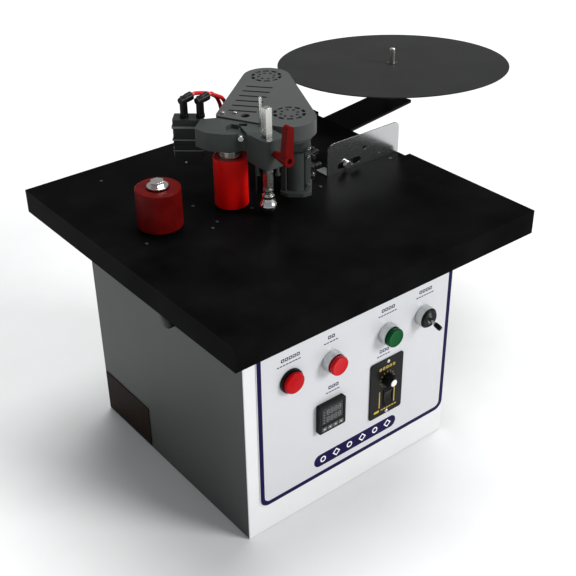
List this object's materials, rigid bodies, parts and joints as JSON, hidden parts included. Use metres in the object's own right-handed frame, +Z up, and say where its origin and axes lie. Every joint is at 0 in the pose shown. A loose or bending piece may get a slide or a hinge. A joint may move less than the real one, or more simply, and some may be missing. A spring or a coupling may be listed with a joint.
{
  "type": "edge banding machine",
  "caption": "Bench edge banding machine: white cabinet with controls, black folded table, gluing head with red rollers, tape guide and tape reel on an arm.",
  "frame": {"origin": "middle of the cabinet's underside, on the floor or bench", "axes": "+Z up, +Y to the back of the machine, +X to the side that the reel arm stands out of"},
  "size_m": [0.8622, 0.6399, 0.569],
  "materials": {
    "cabinet_grey": "grey powder coat on the sides",
    "dark_red_roller": "worn dark red polyurethane",
    "cabinet_white": "gloss white powder coat",
    "panel_label": "printed film, satin",
    "access_plate": "dark brown satin paint",
    "table_black": "satin black powder coat",
    "frame_black": "satin black paint",
    "black_plastic": "moulded, satin",
    "brass": "turned brass",
    "red_lens": "clear red moulding",
    "red_cap": "moulded red",
    "green_cap": "moulded green",
    "collar_metal": "satin silver",
    "steel": "machined steel",
    "grey_key": "soft grey key",
    "red_roller": "ground red polyurethane",
    "dark_steel": "blackened steel",
    "head_grey": "grey hammered paint on a casting",
    "cover_grey": "grey powder coat",
    "polished_steel": "polished ball",
    "red_lever": "moulded red-orange",
    "dark_aluminium": "dark anodised",
    "red_tube": "red air tube",
    "stainless": "brushed stainless sheet",
    "reel_grey": "dark grey satin paint"
  },
  "bodies": {
    "machine": {"cabinet_shell": "cabinet_grey", "front_panel": "cabinet_white", "rear_cover": "cabinet_grey", "control_panel_label": "panel_label", "side_access_plate": "access_plate", "table_frame": "frame_black", "table_top": "table_black", "cable_gland": "black_plastic", "air_inlet": "brass", "lamp_bezel": "black_plastic", "lamp_lens": "red_lens", "stop_button_collar": "collar_metal", "start_button_collar": "collar_metal", "selector_collar": "collar_metal", "temperature_controller": "black_plastic", "speed_controller": "black_plastic", "press_roller_axle": "steel", "head_casting": "head_grey", "drive_cover": "cover_grey", "rear_column": "head_grey", "glue_pot": "head_grey", "heater_cartridge": "steel", "gear_motor": "dark_steel", "drive_chain": "dark_steel", "thickness_pin": "steel", "cutter_cylinder": "dark_aluminium", "elbow_fitting_left": "black_plastic", "elbow_fitting_right": "black_plastic", "air_tube_left": "red_tube", "air_tube_right": "red_tube", "guide_screw": "steel", "guide_block": "dark_steel", "tape_infeed_block": "dark_steel", "reel_arm": "frame_black", "reel_spindle": "steel", "solenoid_valve": "collar_metal"},
    "drive_rotor": {"drive_shaft": "steel"},
    "glue_spindle": {"glue_roller": "steel"},
    "feed_spindle": {"feed_roller_core": "steel", "feed_roller_tyre": "red_roller"},
    "press_roller": {"press_roller_core": "dark_steel", "press_roller_tyre": "dark_red_roller"},
    "reel": {"reel_disc": "reel_grey"},
    "stop_button": {"stop_button_cap": "red_cap"},
    "start_button": {"start_button_cap": "green_cap"},
    "selector": {"selector_lever": "steel"},
    "knob": {"speed_knob": "black_plastic"},
    "rocker": {"run_rocker": "black_plastic"},
    "key_1": {"temperature_key_1": "grey_key"},
    "key_2": {"temperature_key_2": "grey_key"},
    "key_3": {"temperature_key_3": "grey_key"},
    "key_4": {"temperature_key_4": "grey_key"},
    "hold_down": {"hold_down_post": "steel", "ball_holder": "steel"},
    "ball": {"hold_down_ball": "polished_steel"},
    "lever": {"clamp_lever": "red_lever"},
    "cutter": {"cutter_rod": "steel", "cutter_blade": "dark_steel"},
    "guide": {"tape_guide_plate": "stainless"},
    "clamp_knob": {"table_clamp_knob": "black_plastic"}
  },
  "joints": [
    {"name": "drive_turn", "type": "hinge", "parent": "machine", "child": "drive_rotor", "pos_m": [0.1035, 0.1308, 0.412], "axis": [0, 0, 1], "continuous": true},
    {"name": "glue_turn", "type": "hinge", "parent": "machine", "child": "glue_spindle", "pos_m": [0.039, -0.0052, 0.42], "axis": [0, 0, 1], "continuous": true},
    {"name": "feed_turn", "type": "hinge", "parent": "machine", "child": "feed_spindle", "pos_m": [-0.053, 0.012, 0.412], "axis": [0, 0, 1], "continuous": true},
    {"name": "press_turn", "type": "hinge", "parent": "machine", "child": "press_roller", "pos_m": [-0.167, 0.0213, 0.412], "axis": [0, 0, 1], "continuous": true},
    {"name": "reel_turn", "type": "hinge", "parent": "machine", "child": "reel", "pos_m": [0.404, 0.166, 0.47], "axis": [0.0411, 0.0671, 0.9969], "continuous": true},
    {"name": "stop_press", "type": "slide", "parent": "machine", "child": "stop_button", "axis": [0, 1, 0], "range_m": [0, 0.0035], "stiffness_N_per_m": 300, "springref_m": -0.004},
    {"name": "start_press", "type": "slide", "parent": "machine", "child": "start_button", "axis": [0, 1, 0], "range_m": [0, 0.0035], "stiffness_N_per_m": 300, "springref_m": -0.004},
    {"name": "selector_flip", "type": "hinge", "parent": "machine", "child": "selector", "pos_m": [0.1335, -0.207, 0.248], "axis": [1, 0, 0], "range_deg": [-28, 0]},
    {"name": "speed_turn", "type": "hinge", "parent": "machine", "child": "knob", "pos_m": [0.0645, -0.195, 0.165], "axis": [0, -1, 0], "range_deg": [-135, 135]},
    {"name": "rocker_tilt", "type": "hinge", "parent": "machine", "child": "rocker", "pos_m": [0.0678, -0.1942, 0.13125], "axis": [1, 0, 0], "range_deg": [-8, 8]},
    {"name": "key_1_press", "type": "slide", "parent": "machine", "child": "key_1", "axis": [0, 1, 0], "range_m": [0, 0.0008], "stiffness_N_per_m": 400, "springref_m": -0.001},
    {"name": "key_2_press", "type": "slide", "parent": "machine", "child": "key_2", "axis": [0, 1, 0], "range_m": [0, 0.0008], "stiffness_N_per_m": 400, "springref_m": -0.001},
    {"name": "key_3_press", "type": "slide", "parent": "machine", "child": "key_3", "axis": [0, 1, 0], "range_m": [0, 0.0008], "stiffness_N_per_m": 400, "springref_m": -0.001},
    {"name": "key_4_press", "type": "slide", "parent": "machine", "child": "key_4", "axis": [0, 1, 0], "range_m": [0, 0.0008], "stiffness_N_per_m": 400, "springref_m": -0.001},
    {"name": "post_slide", "type": "slide", "parent": "machine", "child": "hold_down", "axis": [0, 0, 1], "range_m": [0, 0.03]},
    {"name": "ball_roll", "type": "hinge", "parent": "hold_down", "child": "ball", "pos_m": [-0.0325, -0.047, 0.4238], "axis": [0, 1, 0], "continuous": true},
    {"name": "lever_turn", "type": "hinge", "parent": "machine", "child": "lever", "pos_m": [-0.0325, -0.0633, 0.508], "axis": [0, -1, 0], "range_deg": [-90, 90]},
    {"name": "cutter_slide", "type": "slide", "parent": "machine", "child": "cutter", "axis": [0.757, -0.6534, 0], "range_m": [0, 0.012]},
    {"name": "guide_slide", "type": "slide", "parent": "machine", "child": "guide", "axis": [1, 0, 0], "range_m": [-0.016, 0.007]},
    {"name": "clamp_knob_turn", "type": "hinge", "parent": "machine", "child": "clamp_knob", "pos_m": [-0.193, -0.049, 0.314], "axis": [-1, 0, 0], "range_deg": [-180, 180]}
  ],
  "couplings": [
    {"joint": "glue_turn", "follows": "drive_turn", "ratio": 0.85714},
    {"joint": "feed_turn", "follows": "drive_turn", "ratio": 1}
  ]
}
